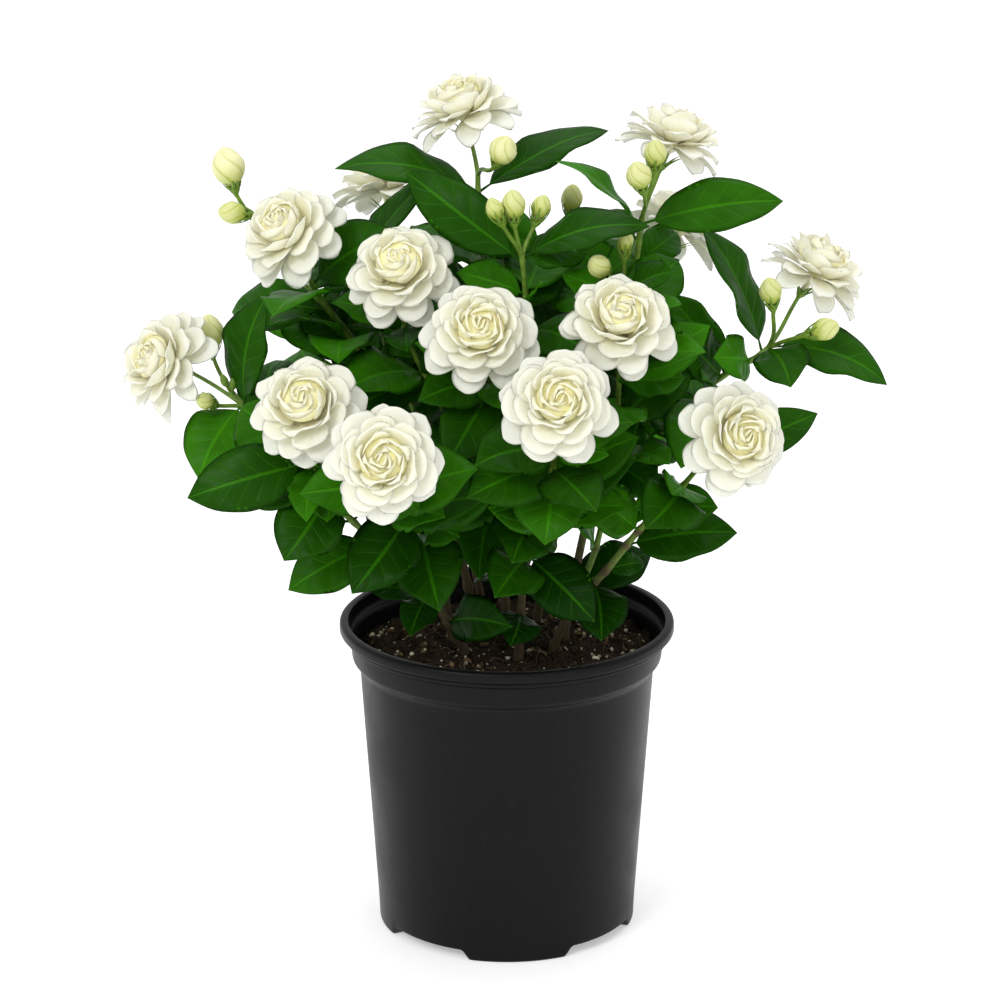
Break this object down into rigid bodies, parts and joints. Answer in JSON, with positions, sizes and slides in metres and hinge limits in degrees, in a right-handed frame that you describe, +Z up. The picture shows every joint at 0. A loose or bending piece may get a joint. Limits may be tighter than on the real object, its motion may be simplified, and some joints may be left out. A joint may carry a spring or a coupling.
{
  "type": "potted jasmine",
  "caption": "Double-flowered jasmine shrub with white rose-like blooms, buds and glossy leaves, growing in a round black nursery pot filled with soil.",
  "frame": {"origin": "centre of the pot's flat underside, on the surface it stands on", "axes": "+Z up along the pot's axis; the plant's front faces -Y and +X is to its right"},
  "size_m": [0.3828, 0.3041, 0.4479],
  "materials": {
    "pot_plastic": "satin",
    "soil": "matte",
    "foliage": "satin",
    "petals": "matte",
    "buds": "satin"
  },
  "bodies": {
    "root": {"pot": "pot_plastic", "soil": "soil", "stem_left": "foliage", "stem_upper_left": "foliage", "stem_low_left": "foliage", "stem_centre": "foliage", "stem_front": "foliage", "stem_low_right": "foliage", "stem_right": "foliage", "stem_back_left": "foliage", "stem_back_right": "foliage", "bloom_01": "petals", "bloom_02": "petals", "bloom_03": "petals", "bloom_04": "petals", "bloom_05": "petals", "bloom_06": "petals", "bloom_07": "petals", "bloom_08": "petals", "bloom_09": "petals", "bloom_10": "petals", "bloom_11": "petals", "bloom_12": "petals", "bloom_13": "petals", "bloom_14": "petals", "bloom_15": "petals", "bloom_16": "petals", "bloom_17": "petals", "bud_01": "buds", "bud_02": "buds", "bud_03": "buds", "bud_04": "buds", "bud_05": "buds", "bud_06": "buds", "bud_07": "buds", "bud_08": "buds", "bud_09": "buds", "bud_10": "buds", "bud_11": "buds", "bud_12": "buds", "bud_13": "buds", "bud_14": "buds", "bud_15": "buds"}
  },
  "joints": []
}
